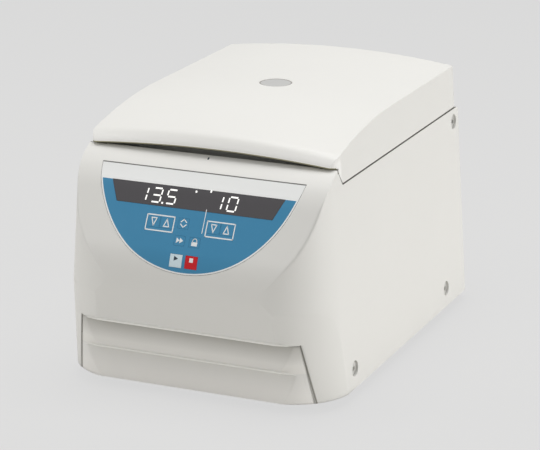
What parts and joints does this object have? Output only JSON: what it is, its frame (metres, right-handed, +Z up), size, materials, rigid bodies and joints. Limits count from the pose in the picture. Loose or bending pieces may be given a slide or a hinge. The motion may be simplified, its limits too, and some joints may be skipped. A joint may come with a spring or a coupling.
{
  "type": "laboratory microcentrifuge",
  "caption": "Bench microcentrifuge with a hinged crowned lid, round sight window, sloped control panel, fixed-angle tube rotor, latch, vented front and rear mains inlet.",
  "frame": {"origin": "centre of the footprint, on the bench under the feet", "axes": "+X to the right as seen from the control panel, +Y from the control panel to the hinge side, +Z up"},
  "size_m": [0.243, 0.356, 0.226],
  "materials": {
    "shell_plastic": "fine-textured moulded plastic, warm white",
    "liner_plastic": "light grey moulded plastic",
    "panel_film": "printed film, blue",
    "key_film": "printed film over a plastic key",
    "start_white": "printed film over a plastic key, pale",
    "stop_red": "red",
    "display_tint": "tinted clear plastic",
    "window_clear": "clear plastic seen against a dark tube",
    "dark_plastic": "black moulded plastic",
    "sheet_steel": "sheet steel",
    "machined_steel": "machined steel",
    "motor_paint": "dark grey paint on metal",
    "rotor_alloy": "anodised aluminium",
    "soft_rubber": "black rubber",
    "board_green": "green glass-fibre board",
    "part_black": "coated components"
  },
  "bodies": {
    "base": {"base_plate": "sheet_steel", "rubber_feet": "soft_rubber", "foot_screws": "machined_steel", "housing": "shell_plastic", "front_grille": "shell_plastic", "side_screws": "machined_steel", "panel_overlay": "panel_film", "display_window": "display_tint", "display_board": "board_green", "digit_modules": "dark_plastic", "control_board": "board_green", "key_switches": "dark_plastic", "rotor_bowl": "sheet_steel", "bowl_seal": "soft_rubber", "motor_body": "motor_paint", "motor_bearings": "machined_steel", "motor_mounts": "soft_rubber", "motor_bracket": "sheet_steel", "power_board": "board_green", "board_parts": "part_black", "heat_sink": "rotor_alloy", "latch_frame": "sheet_steel", "latch_pin": "machined_steel", "latch_solenoid": "part_black", "hinge_frame": "sheet_steel", "hinge_pins": "machined_steel", "rear_panel": "sheet_steel", "rear_screws": "machined_steel", "power_inlet": "dark_plastic", "inlet_pins": "machined_steel", "switch_frame": "dark_plastic"},
    "lid": {"lid_shell": "shell_plastic", "lid_liner": "liner_plastic", "lid_window": "window_clear", "sight_tube": "dark_plastic", "lid_seal": "soft_rubber", "lid_screws": "machined_steel", "lid_striker": "sheet_steel", "lid_hinge_arms": "machined_steel"},
    "drive": {"rotor": "rotor_alloy", "rotor_nut": "dark_plastic", "motor_shaft": "machined_steel", "shaft_fan": "dark_plastic"},
    "latch": {"latch_hook": "machined_steel"},
    "plug": {"release_plug": "shell_plastic"},
    "rocker": {"power_rocker": "stop_red"},
    "fuse": {"fuse_drawer": "dark_plastic"},
    "start_button": {"start_key": "start_white"},
    "stop_button": {"stop_key": "stop_red"},
    "pulse_button": {"pulse_key": "key_film"},
    "open_button": {"open_key": "key_film"},
    "speed_down_button": {"speed_down_key": "key_film"},
    "speed_up_button": {"speed_up_key": "key_film"},
    "mode_button": {"mode_key": "key_film"},
    "time_down_button": {"time_down_key": "key_film"},
    "time_up_button": {"time_up_key": "key_film"}
  },
  "joints": [
    {"name": "lid_hinge", "type": "hinge", "parent": "base", "child": "lid", "pos_m": [0, 0.172, 0.1845], "axis": [-1, 0, 0], "range_deg": [0, 75]},
    {"name": "rotor_spin", "type": "hinge", "parent": "base", "child": "drive", "pos_m": [0, 0.012, 0.14], "axis": [0, 0, 1], "continuous": true},
    {"name": "latch_turn", "type": "hinge", "parent": "base", "child": "latch", "pos_m": [0, -0.108, 0.16], "axis": [-1, 0, 0], "range_deg": [0, 50], "stiffness_Nm_per_rad": 0.02},
    {"name": "plug_pull", "type": "slide", "parent": "base", "child": "plug", "axis": [-1, 0, 0], "range_m": [0, 0.01]},
    {"name": "power_rock", "type": "hinge", "parent": "base", "child": "rocker", "pos_m": [-0.048, 0.169, 0.074], "axis": [0, 0, -1], "range_deg": [0, 16]},
    {"name": "fuse_pull", "type": "slide", "parent": "base", "child": "fuse", "axis": [0, 1, 0], "range_m": [0, 0.012]},
    {"name": "start_press", "type": "slide", "parent": "base", "child": "start_button", "axis": [0, 0.9342, -0.3567], "range_m": [0, 0.0004], "stiffness_N_per_m": 600},
    {"name": "stop_press", "type": "slide", "parent": "base", "child": "stop_button", "axis": [0, 0.9342, -0.3567], "range_m": [0, 0.0004], "stiffness_N_per_m": 600},
    {"name": "pulse_press", "type": "slide", "parent": "base", "child": "pulse_button", "axis": [0, 0.8746, -0.4848], "range_m": [0, 0.0004], "stiffness_N_per_m": 600},
    {"name": "open_press", "type": "slide", "parent": "base", "child": "open_button", "axis": [0, 0.8746, -0.4848], "range_m": [0, 0.0004], "stiffness_N_per_m": 600},
    {"name": "speed_down_press", "type": "slide", "parent": "base", "child": "speed_down_button", "axis": [0, 0.8746, -0.4848], "range_m": [0, 0.0004], "stiffness_N_per_m": 600},
    {"name": "speed_up_press", "type": "slide", "parent": "base", "child": "speed_up_button", "axis": [0, 0.8746, -0.4848], "range_m": [0, 0.0004], "stiffness_N_per_m": 600},
    {"name": "mode_press", "type": "slide", "parent": "base", "child": "mode_button", "axis": [0, 0.8746, -0.4848], "range_m": [0, 0.0004], "stiffness_N_per_m": 600},
    {"name": "time_down_press", "type": "slide", "parent": "base", "child": "time_down_button", "axis": [0, 0.8746, -0.4848], "range_m": [0, 0.0004], "stiffness_N_per_m": 600},
    {"name": "time_up_press", "type": "slide", "parent": "base", "child": "time_up_button", "axis": [0, 0.8746, -0.4848], "range_m": [0, 0.0004], "stiffness_N_per_m": 600}
  ]
}
